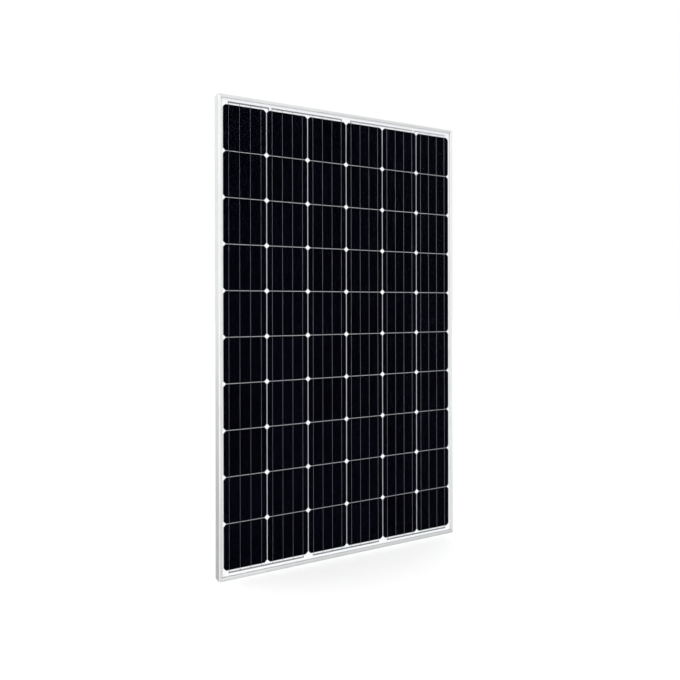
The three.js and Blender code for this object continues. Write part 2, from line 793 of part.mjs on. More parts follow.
function boxLid() {
  const plate = roundedRectangle(BOX_WIDTH, BOX_HEIGHT, BOX_CORNER);
  const raised = roundedRectangle(
    BOX_WIDTH - 2 * LID_PANEL_INSET,
    BOX_HEIGHT - 2 * LID_PANEL_INSET,
    BOX_CORNER,
  );
  const raisedThickness = LID_THICKNESS + LID_PANEL_THICKNESS;
  const parts = [
    slab(plate, LID_THICKNESS).translate(0, lidBase, 0),
    slab(raised, raisedThickness, LID_PANEL_THICKNESS / 2).translate(0, lidBase, 0),
  ];
  for (const side of [-1, 1]) {
    parts.push(...lidKnuckle(side * HINGE_SPREAD));
    parts.push(...lidLatch(side * LATCH.spread));
  }
  const bore = rodAlongX(KNUCKLE.bore, BOX_WIDTH, [0, hinge.y, hinge.z], ROUND_SIDES);
  return piece('junction_box_lid', carve(parts, [bore]), BLACK_PLASTIC);
}

function lidGasket() {
  const width = BOX_WIDTH - 2 * GASKET_INSET;
  const height = BOX_HEIGHT - 2 * GASKET_INSET;
  const ring = roundedRectangle(width, height, BOX_CORNER);
  ring.holes.push(roundedRectangle(
    width - 2 * GASKET_WIDTH,
    height - 2 * GASKET_WIDTH,
    BOX_CORNER - GASKET_WIDTH,
  ));
  const gasket = slab(ring, GASKET_THICKNESS).translate(0, gasketBase, 0);
  return piece('lid_gasket', gasket, BLACK_RUBBER);
}

function hingePin(name, side) {
  const length = KNUCKLE.width + 2 * (EAR.gap + EAR.width + PIN.proud);
  const pin = rodAlongX(PIN.radius, length, [side * HINGE_SPREAD, hinge.y, hinge.z], ROUND_SIDES);
  return piece(`hinge_pin_${name}`, pin, STEEL);
}

function glandBody() {
  return turned([
    [GLAND.bore, -GLAND.rise],
    [GLAND.spigot, -GLAND.rise],
    [GLAND.spigot, GLAND.collarGap],
    [GLAND.collar, GLAND.collarGap],
    [GLAND.collar, GLAND.collarDrop],
    [GLAND.thread, GLAND.collarDrop],
    [GLAND.thread, GLAND.threadDrop],
    [GLAND.seat, GLAND.threadDrop],
    [GLAND.seat, GLAND.seatDrop],
    [GLAND.bore, GLAND.seatDrop],
  ], ROUND_SIDES);
}

/** The rubber ring that grips a cable, held between the gland's seat and its nut. */
function glandSeal() {
  const outside = GLAND.seat - GLAND_SEAL.gap;
  const top = GLAND.seatDrop + GLAND_SEAL.gap;
  const end = GLAND.threadDrop + GLAND_SEAL.proud;
  return turned([
    [GLAND_SEAL.bore, top],
    [outside, top],
    [outside, end],
    [GLAND_SEAL.bore, end],
  ], ROUND_SIDES);
}

/** A hexagonal nut with a tapered end, bored to pass over the thread and to hold the seal. */
function glandNut() {
  const over = GLAND.thread + NUT.gap;
  return carve(
    [
      rodDownZ(NUT.hexRadius, NUT.hexRadius, GLAND.collarDrop + NUT.gap, NUT.hexDrop, 6),
      rodDownZ(NUT.taperTop, NUT.taperEnd, NUT.hexDrop - NUT.root, NUT.drop, ROUND_SIDES),
    ],
    [
      rodDownZ(over, over, 0, GLAND.threadDrop + NUT.root, ROUND_SIDES),
      rodDownZ(GLAND.bore, GLAND.bore, 0, 2 * NUT.drop, ROUND_SIDES),
    ],
  );
}

function junctionBox() {
  const group = new THREE.Group();
  group.add(boxBase(), boxLid(), lidGasket(), hingePin('left', -1), hingePin('right', 1));
  TOP_BUS_STRINGS.forEach((strings, lead) => group.add(terminal(lead)));
  for (let index = 0; index < TOP_BUS_STRINGS.length - 1; index++) {
    group.add(bypassDiode(index));
  }
  for (const [name, side] of [['left', -1], ['right', 1]]) {
    const gland = new THREE.Group();
    gland.position.set(side * GLAND_SPREAD, GLAND.axis, -BOX_HEIGHT / 2);
    gland.add(piece(`gland_body_${name}`, glandBody(), BLACK_PLASTIC));
    gland.add(piece(`gland_nut_${name}`, glandNut(), BLACK_PLASTIC));
    gland.add(piece(`gland_seal_${name}`, glandSeal(), BLACK_RUBBER));
    group.add(gland);
  }
  group.position.set(0, boxDepth, boxCentre);
  return group;
}

// ---- Assembly -----------------------------------------------------------------------------

const pad = boxPad();
pad.position.set(0, padDepth, boxCentre);

const panel = new THREE.Group();
panel.add(frameGroup(), laminateGroup(), pad, junctionBox());
panel.position.set(0, -PANEL_DEPTH / 2, PANEL_HEIGHT / 2);

const model = new THREE.Group();
model.add(panel);

export default model;
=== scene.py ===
"""A framed solar panel with 60 dark cells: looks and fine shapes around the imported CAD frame.

Everything is in metres in the CAD frame: X across, Y out of the back, Z up, glass facing -Y.
"""

import json
import math

import bmesh
import bpy
from mathutils import Matrix, Vector

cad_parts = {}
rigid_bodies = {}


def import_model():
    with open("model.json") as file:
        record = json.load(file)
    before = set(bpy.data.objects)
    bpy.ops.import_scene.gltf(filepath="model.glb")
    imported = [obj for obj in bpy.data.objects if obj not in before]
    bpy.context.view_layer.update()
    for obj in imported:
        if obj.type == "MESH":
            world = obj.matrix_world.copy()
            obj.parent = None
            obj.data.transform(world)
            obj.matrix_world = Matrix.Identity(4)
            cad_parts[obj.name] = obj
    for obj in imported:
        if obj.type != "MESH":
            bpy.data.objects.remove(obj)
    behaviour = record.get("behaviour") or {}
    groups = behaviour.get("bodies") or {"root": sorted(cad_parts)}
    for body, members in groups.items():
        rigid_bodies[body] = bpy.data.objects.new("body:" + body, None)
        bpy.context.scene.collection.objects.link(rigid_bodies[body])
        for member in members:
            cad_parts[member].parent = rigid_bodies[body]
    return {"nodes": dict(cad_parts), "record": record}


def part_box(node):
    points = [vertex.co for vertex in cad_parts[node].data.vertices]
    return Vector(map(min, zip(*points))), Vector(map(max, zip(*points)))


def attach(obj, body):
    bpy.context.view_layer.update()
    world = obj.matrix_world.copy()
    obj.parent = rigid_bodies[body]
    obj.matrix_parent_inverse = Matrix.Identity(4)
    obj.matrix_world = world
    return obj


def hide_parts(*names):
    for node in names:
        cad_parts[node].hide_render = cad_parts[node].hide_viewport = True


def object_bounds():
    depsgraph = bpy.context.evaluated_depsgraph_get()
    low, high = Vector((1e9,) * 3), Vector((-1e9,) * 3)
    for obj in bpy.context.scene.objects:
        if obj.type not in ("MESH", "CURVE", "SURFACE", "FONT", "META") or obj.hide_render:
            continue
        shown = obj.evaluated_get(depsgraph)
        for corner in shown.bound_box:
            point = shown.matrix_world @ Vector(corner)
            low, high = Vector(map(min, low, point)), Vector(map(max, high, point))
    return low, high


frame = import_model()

CAD_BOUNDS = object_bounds()
NODES = frame["nodes"]
SLOTS = {part["node"]: part["material_slot"] for part in frame["record"]["subparts"]}
MM = 0.001

# The panel's layout, as in the CAD model.
COLUMNS, ROWS, BUSBARS = 6, 10, 4
CELL = 156.75 * MM
STRING_PITCH = CELL + 3 * MM
CELL_PITCH = CELL + 2 * MM
INGOT_RADIUS = 105 * MM
WAFER_THICKNESS = 0.2 * MM
RIBBON_WIDTH = 1.1 * MM
RIBBON_THICKNESS = 0.2 * MM
BUS_WIDTH = 5 * MM
LEAD_SLIT = (9 * MM, 4 * MM)
LEADS = 4

GLASS_LOW, GLASS_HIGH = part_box("front_glass")
FILM_LOW, FILM_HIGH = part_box("backsheet")
CENTRE_Z = (GLASS_LOW.z + GLASS_HIGH.z) / 2
RIBBON_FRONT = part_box("cell_string_1")[0].y
WAFER_FRONT = RIBBON_FRONT + RIBBON_THICKNESS


def column_x(column):
    return (column - (COLUMNS - 1) / 2) * STRING_PITCH


def row_z(row):
    return CENTRE_Z + (row - (ROWS - 1) / 2) * CELL_PITCH


def busbar_x(column, busbar):
    return column_x(column) + ((busbar + 0.5) / BUSBARS - 0.5) * CELL


# ---- Camera and suns --------------------------------------------------------------------------

CAMERA_LENS = 33.84
CAMERA_SENSOR = 36.0
CAMERA_SIDE = -1.1665
CAMERA_DISTANCE = 2.093
CAMERA_HEIGHT = 0.1066
CAMERA_YAW = math.radians(-28.561)
CAMERA_ROLL = math.radians(-0.102)
CAMERA_SHIFT_Y = -0.0504


def make_camera():
    data = bpy.data.cameras.new("camera")
    data.lens = CAMERA_LENS
    data.sensor_width = CAMERA_SENSOR
    data.shift_y = CAMERA_SHIFT_Y
    camera = bpy.data.objects.new("camera", data)
    turn = Matrix.Rotation(CAMERA_YAW, 4, "Z") @ Matrix.Rotation(math.pi / 2, 4, "X")
    spot = (CAMERA_SIDE, WAFER_FRONT - CAMERA_DISTANCE, CENTRE_Z + CAMERA_HEIGHT)
    camera.matrix_world = Matrix.Translation(spot) @ turn @ Matrix.Rotation(CAMERA_ROLL, 4, "Z")
    bpy.context.scene.collection.objects.link(camera)
    bpy.context.scene.camera = camera


# Each sun's strength, and its softness, azimuth and elevation in degrees. The azimuth turns as the
# camera's yaw does, from 0 for light straight at the glass.
KEY_SUN = (2.0, 25, -22, -12)
TOP_SUN = (1.3, 40, -20, 86)


def add_sun(name, strength, softness, azimuth, elevation):
    data = bpy.data.lights.new(name, "SUN")
    data.energy = strength
    data.angle = math.radians(softness)
    sun = bpy.data.objects.new(name, data)
    sun.rotation_euler = (math.radians(90 - elevation), 0, math.radians(azimuth))
    bpy.context.scene.collection.objects.link(sun)


# ---- Node trees -------------------------------------------------------------------------------


def add(tree, kind, inputs=None, **settings):
    """Adds a shader node, sets its properties, and fills or links its inputs."""
    node = tree.nodes.new("ShaderNode" + kind)
    for name, value in settings.items():
        setattr(node, name, value)
    for name, value in (inputs or {}).items():
        socket = node.inputs[name]
        if isinstance(value, bpy.types.NodeSocket):
            tree.links.new(value, socket)
        else:
            socket.default_value = value
    return node


def math_node(tree, operation, *values):
    return add(tree, "Math", dict(enumerate(values)), operation=operation).outputs[0]


def weighted_sum(tree, *terms):
    """The sum of (value, weight) terms."""
    parts = [math_node(tree, "MULTIPLY", value, weight) for value, weight in terms]
    total = parts[0]
    for part in parts[1:]:
        total = math_node(tree, "ADD", total, part)
    return total


def blend_colour(tree, factor, low, high):
    """Blends two colours. The node's sockets share their names, so they go by index."""
    node = add(tree, "Mix", data_type="RGBA")
    for index, value in ((0, factor), (6, low), (7, high)):
        if isinstance(value, bpy.types.NodeSocket):
            tree.links.new(value, node.inputs[index])
        else:
            node.inputs[index].default_value = value if index == 0 else (*value, 1)
    return node.outputs[2]


def map_range(tree, value, low, high, to_low, to_high, smooth=False):
    names = {"Value": value, "From Min": low, "From Max": high, "To Min": to_low, "To Max": to_high}
    kind = "SMOOTHSTEP" if smooth else "LINEAR"
    return add(tree, "MapRange", names, interpolation_type=kind).outputs[0]


def new_material(name):
    material = bpy.data.materials.new(name)
    material.use_nodes = True
    material.node_tree.nodes.clear()
    return material, material.node_tree


def place(tree, scale=(1, 1, 1)):
    """A point's coordinates in the CAD frame in metres, scaled along each axis."""
    coordinates = add(tree, "TexCoord").outputs["Object"]
    return add(tree, "Mapping", {"Vector": coordinates, "Scale": scale}).outputs[0]


def drawn(along, share):
    """The scale along each axis of a pattern that is drawn out along one of them."""
    return tuple(share if axis == along else 1.0 for axis in range(3))


def noise(tree, scale, stretch=(1, 1, 1), detail=3.0, roughness=0.55):
    """Noise with scale lumps in a metre, stretched along the axes."""
    inputs = {"Vector": place(tree, stretch), "Scale": scale, "Detail": detail, "Roughness": roughness}
    return add(tree, "TexNoise", inputs).outputs[0]


def bump(tree, height, distance, strength=1.0):
    return add(tree, "Bump", {"Height": height, "Distance": distance, "Strength": strength}).outputs[0]


def finish_material(tree, shader):
    output = add(tree, "OutputMaterial")
    tree.links.new(shader, output.inputs["Surface"])


def principled(tree, inputs):
    return add(tree, "BsdfPrincipled", inputs).outputs[0]


# ---- Materials --------------------------------------------------------------------------------

ACROSS, UP = 0, 2
# The values that a noise takes, nearly all of them or its middle ones, and those that two add up to.
NOISE_SPAN = (0.3, 0.7)
MIDDLE_SPAN = (0.35, 0.65)
SUM_SPAN = (0.7, 1.3)


def anodised_aluminium(name, along, low, high):
    """Satin anodised extrusion: fine draw lines along one axis, faint clouding and soft handling marks."""
    material, tree = new_material(name)
    lines = noise(tree, 2600, drawn(along, 0.012), detail=2)
    bands = noise(tree, 260, drawn(along, 0.012), detail=3)
    clouds = noise(tree, 7)
    marks = noise(tree, 60, detail=5, roughness=0.7)
    tone = weighted_sum(tree, (lines, 0.3), (bands, 0.35), (clouds, 0.35))
    colour = blend_colour(tree, map_range(tree, tone, *MIDDLE_SPAN, 0, 1), low, high)
    rough = map_range(tree, math_node(tree, "ADD", bands, marks), *SUM_SPAN, 0.36, 0.5)
    normal = bump(tree, lines, 0.02 * MM, 0.5)
    finish_material(tree, principled(tree, {
        "Base Color": colour, "Metallic": 0.72, "Roughness": rough, "Normal": normal,
    }))
    return material


def cast_aluminium():
    material, tree = new_material("cast_aluminium")
    grain = noise(tree, 900, detail=5)
    colour = blend_colour(tree, noise(tree, 40), (0.42, 0.43, 0.44), (0.56, 0.57, 0.58))
    finish_material(tree, principled(tree, {
        "Base Color": colour, "Metallic": 0.9, "Roughness": map_range(tree, grain, *NOISE_SPAN, 0.45, 0.65),
        "Normal": bump(tree, grain, 0.08 * MM),
    }))
    return material


def foam(name, low, high):
    """Matt closed-cell foam tape or cured sealant."""
    material, tree = new_material(name)
    cells = noise(tree, 1600, detail=4)
    colour = blend_colour(tree, noise(tree, 90), low, high)
    finish_material(tree, principled(tree, {
        "Base Color": colour, "Roughness": map_range(tree, cells, *NOISE_SPAN, 0.6, 0.85),
        "Normal": bump(tree, cells, 0.06 * MM, 0.6),
    }))
    return material


GLASS_CLEAR = (0.996, 0.998, 0.999)
GLASS_DULL = (0.984, 0.988, 0.99)


def solar_glass():
    """Antireflective rolled glass: clear, with a mirror that shows only at a glancing angle."""
    material, tree = new_material("solar_glass")
    grain = noise(tree, 700, detail=3)
    smears = noise(tree, 4, detail=4)
    clear = add(tree, "BsdfTransparent", {"Color": blend_colour(tree, smears, GLASS_CLEAR, GLASS_DULL)})
    mirror = add(tree, "BsdfAnisotropic", {
        "Color": (1, 1, 1, 1),
        "Roughness": map_range(tree, math_node(tree, "ADD", grain, smears), 0.6, 1.4, 0.04, 0.12),
        "Normal": bump(tree, grain, 0.01 * MM, 0.25),
    })
    glancing = add(tree, "LayerWeight", {"Blend": 0.5}).outputs["Facing"]
    share = math_node(tree, "POWER", glancing, 5)
    mix = add(tree, "MixShader", {0: share, 1: clear.outputs[0], 2: mirror.outputs[0]})
    finish_material(tree, mix.outputs[0])
    return material


def encapsulant():
    """Clear cured film with the faintest clouding."""
    material, tree = new_material("encapsulant")
    clear = blend_colour(tree, noise(tree, 12, detail=4), (0.999, 0.999, 0.999), (0.99, 0.991, 0.992))
    finish_material(tree, add(tree, "BsdfTransparent", {"Color": clear}).outputs[0])
    return material


def cell_place(tree):
    """Where a point lies in its own cell, as x and z from the cell's middle, and the cell's number."""
    spot = add(tree, "SeparateXYZ", {0: place(tree)})
    across = math_node(tree, "ADD", math_node(tree, "DIVIDE", spot.outputs[0], STRING_PITCH), COLUMNS / 2)
    height = math_node(tree, "SUBTRACT", spot.outputs[2], CENTRE_Z)
    up = math_node(tree, "ADD", math_node(tree, "DIVIDE", height, CELL_PITCH), ROWS / 2)
    local = []
    for value, pitch in ((across, STRING_PITCH), (up, CELL_PITCH)):
        share = math_node(tree, "SUBTRACT", math_node(tree, "FRACT", value), 0.5)
        local.append(math_node(tree, "MULTIPLY", share, pitch))
    whole = (math_node(tree, "FLOOR", across), math_node(tree, "FLOOR", up))
    number = math_node(tree, "ADD", whole[0], math_node(tree, "MULTIPLY", whole[1], COLUMNS))
    return local[0], local[1], number


# How far from its middle a line fades, as shares of its width.
LINE_FADE = (0.35, 0.65)


def line_mask(tree, value, pitch, width):
    """1 on lines of a width that repeat at a pitch, and 0 between them."""
    share = math_node(tree, "FRACT", math_node(tree, "DIVIDE", value, pitch))
    off_line = math_node(tree, "ABSOLUTE", math_node(tree, "SUBTRACT", share, 0.5))
    away = math_node(tree, "MULTIPLY", off_line, pitch)
    return map_range(tree, away, width * LINE_FADE[0], width * LINE_FADE[1], 1, 0)


FINGER_PITCH = 1.6 * MM
FINGER_WIDTH = 0.05 * MM
FINGER_MARGIN = 1.1 * MM
FINGER_END = 0.1 * MM


def silicon_cell():
    """Dark textured silicon behind its blue coating, with fine printed fingers across it."""
    material, tree = new_material("silicon_cell")
    x, z, number = cell_place(tree)
    odd = add(tree, "TexWhiteNoise", {"W": number}, noise_dimensions="1D").outputs["Value"]
    cloud = noise(tree, 9, detail=2)
    shade = weighted_sum(tree, (odd, 0.6), (cloud, 0.4))
    coating = blend_colour(tree, shade, (0.0003, 0.0004, 0.0014), (0.0008, 0.0011, 0.0036))
    finger = line_mask(tree, z, FINGER_PITCH, FINGER_WIDTH)
    inside = CELL / 2 - FINGER_MARGIN
    for value in (x, z):
        edge = map_range(tree, math_node(tree, "ABSOLUTE", value), inside, inside + FINGER_END, 1, 0)
        finger = math_node(tree, "MULTIPLY", finger, edge)
    colour = blend_colour(tree, finger, coating, (0.012, 0.012, 0.015))
    texture = noise(tree, 5000, detail=2)
    height = math_node(tree, "ADD", finger, math_node(tree, "MULTIPLY", texture, 0.15))
    finish_material(tree, principled(tree, {
        "Base Color": colour, "Roughness": map_range(tree, texture, *NOISE_SPAN, 0.35, 0.5),
        "Specular IOR Level": 0.007, "Normal": bump(tree, height, 0.01 * MM, 0.3),
    }))
    return material


def tinned_copper(name, along, low, high, painted_sheen=(1, 1)):
    """Solder-coated copper ribbon: rolled streaks along one axis, with duller frosted patches.

    Its tone may be scaled between two shares of itself from the left of the panel to the right, as painted
    sheen.
    """
    material, tree = new_material(name)
    streaks = noise(tree, 3000, drawn(along, 0.02), detail=3)
    frost = noise(tree, 160, detail=4)
    colour = blend_colour(tree, map_range(tree, frost, *MIDDLE_SPAN, 0, 1), low, high)
    # Painted sheen: the colour grows lighter or darker from the left of the panel to the right.
    panel_x = add(tree, "SeparateXYZ", {0: place(tree)}).outputs[0]
    tone = map_range(tree, panel_x, GLASS_LOW.x, GLASS_HIGH.x, *painted_sheen)
    colour = add(tree, "VectorMath", {0: colour, "Scale": tone}, operation="SCALE").outputs[0]
    finish_material(tree, principled(tree, {
        "Base Color": colour, "Metallic": 0.9,
        "Roughness": map_range(tree, math_node(tree, "ADD", streaks, frost), *SUM_SPAN, 0.3, 0.5),
        "Normal": bump(tree, streaks, 0.02 * MM, 0.6),
    }))
    return material


# The film between cells is painted greyer, a painted shade for the cells' shadow, but not within
# JUNCTION_REACH of where four cells meet. Past the outer cells' edges this painted shade fades
# between the two distances in EDGE_SHADE.
JUNCTION_REACH = 11 * MM
JUNCTION_FADE = 2 * MM
EDGE_SHADE = (0.8 * MM, 2.6 * MM)
# The grey of the painted shade in the slots.
PAINTED_SLOT_SHADE = (0.5, 0.5, 0.52)
FRONT_SKIN = 0.01 * MM


def slot_shade(tree, x, z):
    """1 where the film gets painted shade in the slots between the cells and right beside the outer ones.
    """
    across = math_node(tree, "SUBTRACT", STRING_PITCH / 2, math_node(tree, "ABSOLUTE", x))
    up = math_node(tree, "SUBTRACT", CELL_PITCH / 2, math_node(tree, "ABSOLUTE", z))
    away = math_node(tree, "ADD", across, up)
    shade = map_range(tree, away, JUNCTION_REACH - JUNCTION_FADE, JUNCTION_REACH, 0, 1, smooth=True)
    spot = add(tree, "SeparateXYZ", {0: place(tree)})
    half_width = (COLUMNS - 1) / 2 * STRING_PITCH + CELL / 2
    half_height = (ROWS - 1) / 2 * CELL_PITCH + CELL / 2
    height = math_node(tree, "SUBTRACT", spot.outputs[2], CENTRE_Z)
    for value, half in ((spot.outputs[0], half_width), (height, half_height)):
        away = math_node(tree, "ABSOLUTE", value)
        inside = map_range(tree, away, half + EDGE_SHADE[0], half + EDGE_SHADE[1], 1, 0, smooth=True)
        shade = math_node(tree, "MULTIPLY", shade, inside)
    in_front = math_node(tree, "LESS_THAN", spot.outputs[1], FILM_LOW.y + FRONT_SKIN)
    return math_node(tree, "MULTIPLY", shade, in_front)


def white_backsheet():
    """Satin white film with a slight orange peel, with painted shade in front where the cells shade it."""
    material, tree = new_material("white_backsheet")
    x, z, _ = cell_place(tree)
    orange_peel = noise(tree, 420, detail=3)
    waves = noise(tree, 16, detail=3)
    height = math_node(tree, "ADD", waves, math_node(tree, "MULTIPLY", orange_peel, 0.4))
    colour = blend_colour(tree, waves, (0.82, 0.822, 0.83), (0.85, 0.852, 0.858))
    # Painted shade: the film turns grey in the slots between cells and round the cell field.
    colour = blend_colour(tree, slot_shade(tree, x, z), colour, PAINTED_SLOT_SHADE)
    finish_material(tree, principled(tree, {
        "Base Color": colour, "Roughness": map_range(tree, orange_peel, *NOISE_SPAN, 0.38, 0.55),
        "Normal": bump(tree, height, 0.12 * MM, 0.5),
    }))
    return material


def moulded_plastic(name, low, high, rough=(0.42, 0.6)):
    """Spark-eroded moulded plastic, with faint flow marks."""
    material, tree = new_material(name)
    grain = noise(tree, 1500, detail=3)
    flow = noise(tree, 28, drawn(UP, 0.4), detail=3)
    finish_material(tree, principled(tree, {
        "Base Color": blend_colour(tree, flow, low, high),
        "Roughness": map_range(tree, math_node(tree, "ADD", grain, flow), *SUM_SPAN, *rough),
        "Normal": bump(tree, grain, 0.05 * MM, 0.5),
    }))
    return material


def stamped_metal(name, low, high):
    material, tree = new_material(name)
    grain = noise(tree, 1200, drawn(UP, 0.1), detail=3)
    tarnish = noise(tree, 120, detail=4)
    finish_material(tree, principled(tree, {
        "Base Color": blend_colour(tree, tarnish, low, high), "Metallic": 0.95,
        "Roughness": map_range(tree, math_node(tree, "ADD", grain, tarnish), *SUM_SPAN, 0.25, 0.45),
        "Normal": bump(tree, grain, 0.02 * MM, 0.5),
    }))
    return material


def pale_floor():
    material, tree = new_material("pale_floor")
    colour = blend_colour(tree, noise(tree, 3, detail=4), (0.92, 0.92, 0.92), (0.94, 0.94, 0.94))
    finish_material(tree, principled(tree, {
        "Base Color": colour, "Roughness": 0.8, "Specular IOR Level": 0.1,
    }))
    return material


# ---- Mesh helpers -----------------------------------------------------------------------------

MERGE_DISTANCE = 0.002 * MM


def link(name, mesh, material, body, replaces=()):
    """Makes a piece from a mesh, which rides on a body and stands for the CAD nodes it replaces."""
    piece = bpy.data.objects.new(name, mesh)
    mesh.materials.clear()
    mesh.materials.append(material)
    bpy.context.scene.collection.objects.link(piece)
    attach(piece, body)
    if replaces:
        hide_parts(*replaces)
    return piece


def mesh_from(build, name):
    """Runs a function that fills a bmesh, and returns the mesh with its normals facing out."""
    shape = bmesh.new()
    build(shape)
    bmesh.ops.recalc_face_normals(shape, faces=shape.faces)
    mesh = bpy.data.meshes.new(name)
    shape.to_mesh(mesh)
    shape.free()
    return mesh


def prism(shape, outline, front, back):
    """A closed prism with an outline of (x, z) points between two depths."""
    rings = [[shape.verts.new((x, y, z)) for x, z in outline] for y in (front, back)]
    count = len(outline)
    for i in range(count):
        j = (i + 1) % count
        shape.faces.new((rings[0][i], rings[0][j], rings[1][j], rings[1][i]))
    shape.faces.new(rings[0])
    shape.faces.new(rings[1])


def sweep(shape, path, x, width, thickness):
    """A flat ribbon of a width along X whose front follows a path of (z, y) points."""
    rings = []
    for index, (z, y) in enumerate(path):
        last, following = path[max(index - 1, 0)], path[min(index + 1, len(path) - 1)]
        run, rise = following[0] - last[0], following[1] - last[1]
        size = math.hypot(run, rise) * (-1 if run < 0 else 1)
        off_z, off_y = -rise / size * thickness, run / size * thickness
        corners = ((-1, 0, 0), (1, 0, 0), (1, off_z, off_y), (-1, off_z, off_y))
        rings.append([shape.verts.new((x + side * width / 2, y + dy, z + dz)) for side, dz, dy in corners])
    for first, second in zip(rings, rings[1:]):
        for i in range(4):
            j = (i + 1) % 4
            shape.faces.new((first[i], first[j], second[j], second[i]))
    shape.faces.new(rings[0])
    shape.faces.new(rings[-1])


# ---- Cells and ribbons ------------------------------------------------------------------------

CORNER_STEPS = 8


def wafer_outline(centre_x, centre_z):
    """A square whose corners are arcs of the round ingot."""
    first = math.acos(CELL / 2 / INGOT_RADIUS)
    points = []
    for corner in range(4):
        for step in range(CORNER_STEPS + 1):
            angle = corner * math.pi / 2 + first + (math.pi / 2 - 2 * first) * step / CORNER_STEPS
            x, z = INGOT_RADIUS * math.cos(angle), INGOT_RADIUS * math.sin(angle)
            points.append((centre_x + x, centre_z + z))
    return points


def build_wafers(shape, column):
    for row in range(ROWS):
        outline = wafer_outline(column_x(column), row_z(row))
        prism(shape, outline, WAFER_FRONT, WAFER_FRONT + WAFER_THICKNESS)


RIBBON_START = 1.5 * MM
RIBBON_TAIL = 6 * MM
RIBBON_BEND = 0.9 * MM


def ribbon_path(row, upward):
    """A ribbon that runs along the front of one cell and bends behind the next one in its string."""
    way = 1 if upward else -1
    start = row_z(row) - way * (CELL / 2 - RIBBON_START)
    edge = row_z(row) + way * CELL / 2
    gap = CELL_PITCH - CELL
    behind = WAFER_FRONT + WAFER_THICKNESS
    return [
        (start, RIBBON_FRONT),
        (edge + way * (gap - RIBBON_BEND) / 2, RIBBON_FRONT),
        (edge + way * (gap + RIBBON_BEND) / 2, behind),
        (edge + way * (gap + RIBBON_TAIL), behind),
    ]


def build_ribbons(shape, column):
    """Four lines of ribbons down one string. Neighbouring strings are wired the opposite way up."""
    upward = column % 2 == 0
    bus_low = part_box(f"bus_ribbon_bottom_{column // 2 + 1}")[1].z
    bus_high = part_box("bus_ribbon_top_1")[1].z - BUS_WIDTH
    for busbar in range(BUSBARS):
        x = busbar_x(column, busbar)
        for row in range(ROWS):
            path = ribbon_path(row, upward)
            if upward and row == ROWS - 1:
                path = [path[0], (bus_high, RIBBON_FRONT)]
            if not upward and row == 0:
                path = [path[0], (bus_low, RIBBON_FRONT)]
            sweep(shape, path, x, RIBBON_WIDTH, RIBBON_THICKNESS)
        if upward:
            stub = [(bus_low, RIBBON_FRONT), (row_z(0) - CELL / 2, WAFER_FRONT)]
        else:
            stub = [(bus_high, RIBBON_FRONT), (row_z(ROWS - 1) + CELL / 2, WAFER_FRONT)]
        sweep(shape, stub, x, RIBBON_WIDTH, RIBBON_THICKNESS)


def make_strings(cell_material, ribbon_material):
    for column in range(COLUMNS):
        number = column + 1
        wafers = mesh_from(lambda shape: build_wafers(shape, column), f"wafers_{number}")
        ribbons = mesh_from(lambda shape: build_ribbons(shape, column), f"ribbons_{number}")
        replaced = [f"cell_string_{number}"]
        link(f"string_{number}_cells", wafers, cell_material, "panel", replaced)
        link(f"string_{number}_ribbons", ribbons, ribbon_material, "panel")


SOLDER_LEVELS = 3
SOLDER_SIDES = 12
# A joint's half width, half length and height.
SOLDER_SIZE = (0.95 * MM, 2.4 * MM, 0.12 * MM)
SOLDER_INSET = 0.8 * MM
# How far each joint strays, as a share of the inset, and how it varies along the row.
SOLDER_STRAY = 0.4
STRAY_PER_COLUMN = 5.1
STRAY_PER_BUSBAR = 2.3


def dome(shape, x, z, surface, half_width, half_length, height):
    """A low mound of solder that stands forward from a surface."""
    rings = []
    for level in range(SOLDER_LEVELS):
        angle = level / SOLDER_LEVELS * math.pi / 2
        spread, rise = math.cos(angle), math.sin(angle) * height
        ring = []
        for step in range(SOLDER_SIDES):
            turn = 2 * math.pi * step / SOLDER_SIDES
            across, up = half_width * spread * math.cos(turn), half_length * spread * math.sin(turn)
            ring.append(shape.verts.new((x + across, surface - rise, z + up)))
        rings.append(ring)
    top = shape.verts.new((x, surface - height, z))
    shape.faces.new(rings[0])
    for step in range(SOLDER_SIDES):
        following = (step + 1) % SOLDER_SIDES
        for low, high in zip(rings, rings[1:]):
            shape.faces.new((low[step], low[following], high[following], high[step]))
        shape.faces.new((rings[-1][step], rings[-1][following], top))


def build_solder(shape, end):
    """The joints where every ribbon is soldered to the bus ribbons at one end of the panel."""
    low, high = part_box(f"bus_ribbon_{end}_2")
    if end == "bottom":
        start, way = high.z, -1
    else:
        start, way = high.z - BUS_WIDTH, 1
    for column in range(COLUMNS):
        for busbar in range(BUSBARS):
            stray = SOLDER_STRAY * math.sin(STRAY_PER_COLUMN * column + STRAY_PER_BUSBAR * busbar)
            inset = SOLDER_INSET * (1 + stray)
            dome(shape, busbar_x(column, busbar), start + way * inset, low.y, *SOLDER_SIZE)


# ---- Backsheet and sealant ----------------------------------------------------------------------

# How high cells, ribbons and the strip lift the film, how far it slopes down round them, and how
# far inside its edge a cell starts to lift it.
CELL_RELIEF = 0.1 * MM
RIBBON_RELIEF = 0.06 * MM
STRIP_RELIEF = 0.04 * MM
RELIEF_SLOPE = 0.8 * MM
CELL_INSET = 0.3 * MM
# Lines of the film's grid that agree to this many decimals of a metre are one line.
GRID_DIGITS = 7


def raised(low, high):
    """A raised band, as the points where it starts to rise, is up, starts to fall and is down."""
    return (low - RELIEF_SLOPE, low, high, high + RELIEF_SLOPE)


def band_height(value, bands):
    """1 inside any of the raised bands, 0 outside them all, and between the two on their slopes."""
    heights = [0]
    for start, low, high, end in bands:
        heights.append(min((value - start) / (low - start), (end - value) / (end - high), 1))
    return max(heights)


